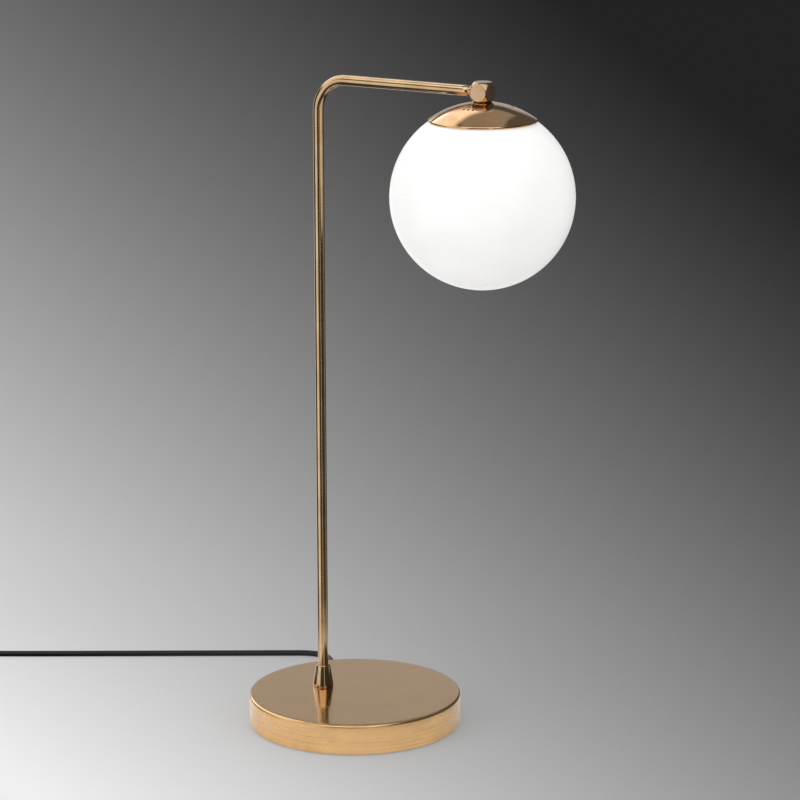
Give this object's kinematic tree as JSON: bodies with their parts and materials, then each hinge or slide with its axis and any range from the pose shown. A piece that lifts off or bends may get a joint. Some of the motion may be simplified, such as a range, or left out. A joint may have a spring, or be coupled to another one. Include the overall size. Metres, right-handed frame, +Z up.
{
  "type": "table lamp",
  "caption": "Table lamp with a round weighted base, a bent tube stem and arm, and a hanging opal glass globe under a domed metal cap",
  "frame": {"origin": "on the floor under the middle of the round base", "axes": "+Z up, +X from the stem along the arm to the globe, +Y to the left of the arm; the cord leaves the base toward -X and +Y"},
  "size_m": [0.7883, 0.2524, 0.5594],
  "materials": {
    "antique_brass": "lacquered antique brass, polished on top and turned or brushed in fine lines on the sides",
    "cast_iron": "rough casting, unpainted",
    "black_steel": "matt black paint on flat sheet",
    "zinc_steel": "bright zinc plated",
    "spring_steel": "plain hardened spring sheet",
    "felt": "pressed black felt",
    "cord_sheath": "smooth satin black round cord",
    "black_plastic": "fine moulded texture, satin black",
    "black_gloss_plastic": "smooth semi-gloss black",
    "white_plastic": "natural white moulding",
    "brown_insulation": "smooth wire insulation",
    "blue_insulation": "smooth wire insulation",
    "bare_brass": "bare pressed or turned brass",
    "holder_phenolic": "black heat-proof moulding, semi-gloss",
    "porcelain": "white glazed insert",
    "opal_glass": "white opal glass, satin, hides the bulb",
    "bulb_glass": "frosted thin glass",
    "bulb_cap_metal": "pressed bright metal",
    "black_glass": "black glassy insulator",
    "nickel": "nickel plated brass"
  },
  "bodies": {
    "lamp": {"base_cover": "antique_brass", "ballast_dish": "cast_iron", "bottom_plate": "black_steel", "bottom_plate_screws": "zinc_steel", "felt_pad": "felt", "cord_gland": "black_plastic", "mains_cord_inside": "cord_sheath", "mains_core_live": "brown_insulation", "mains_core_neutral": "blue_insulation", "cord_clamp": "white_plastic", "cord_clamp_screws": "zinc_steel", "terminal_block": "white_plastic", "terminal_screws": "bare_brass", "terminal_block_screw": "zinc_steel", "stem_collar": "antique_brass", "stem_washer": "zinc_steel", "stem_nut": "zinc_steel", "stem_tube": "antique_brass", "live_wire": "brown_insulation", "neutral_wire": "blue_insulation", "arm_lock_ring": "antique_brass", "elbow_ball": "antique_brass", "elbow_nipple": "zinc_steel", "dome_cap": "antique_brass", "cap_washer": "zinc_steel", "globe_spring_clip": "spring_steel", "cap_nut": "zinc_steel", "holder_cap": "holder_phenolic", "holder_barrel": "holder_phenolic", "holder_insert": "porcelain", "holder_sleeve": "bare_brass", "holder_contact": "bare_brass", "mains_cord_to_switch": "cord_sheath", "mains_cord_to_coil": "cord_sheath", "mains_cord_coil": "cord_sheath", "mains_cord_to_plug": "cord_sheath", "cord_tie": "black_plastic", "switch_lower_shell": "black_plastic", "switch_upper_shell": "black_plastic", "switch_contacts": "bare_brass", "switch_core_neutral": "blue_insulation", "switch_cores_live": "brown_insulation", "switch_screws": "zinc_steel", "plug_body": "black_plastic", "plug_tail": "black_plastic", "plug_pins": "nickel"},
    "rocker": {"switch_rocker": "black_gloss_plastic", "rocker_bridge": "bare_brass"},
    "globe": {"globe_glass": "opal_glass"},
    "bulb": {"bulb_glass": "bulb_glass", "bulb_collar": "white_plastic", "bulb_screw_cap": "bulb_cap_metal", "bulb_insulator": "black_glass", "bulb_tip_contact": "bulb_cap_metal"}
  },
  "joints": [
    {"name": "rocker_tilt", "type": "hinge", "parent": "lamp", "child": "rocker", "pos_m": [-0.4436, -0.0601, 0.0152], "axis": [-0.518, 0.8554, 0], "range_deg": [0, 20]},
    {"name": "globe_pull_down", "type": "slide", "parent": "lamp", "child": "globe", "axis": [0, 0, -1], "range_m": [0, 0.13], "deforming": ["globe_spring_clip"]},
    {"name": "bulb_out", "type": "slide", "parent": "lamp", "child": "bulb", "axis": [0, 0, -1], "range_m": [0, 0.028]}
  ]
}
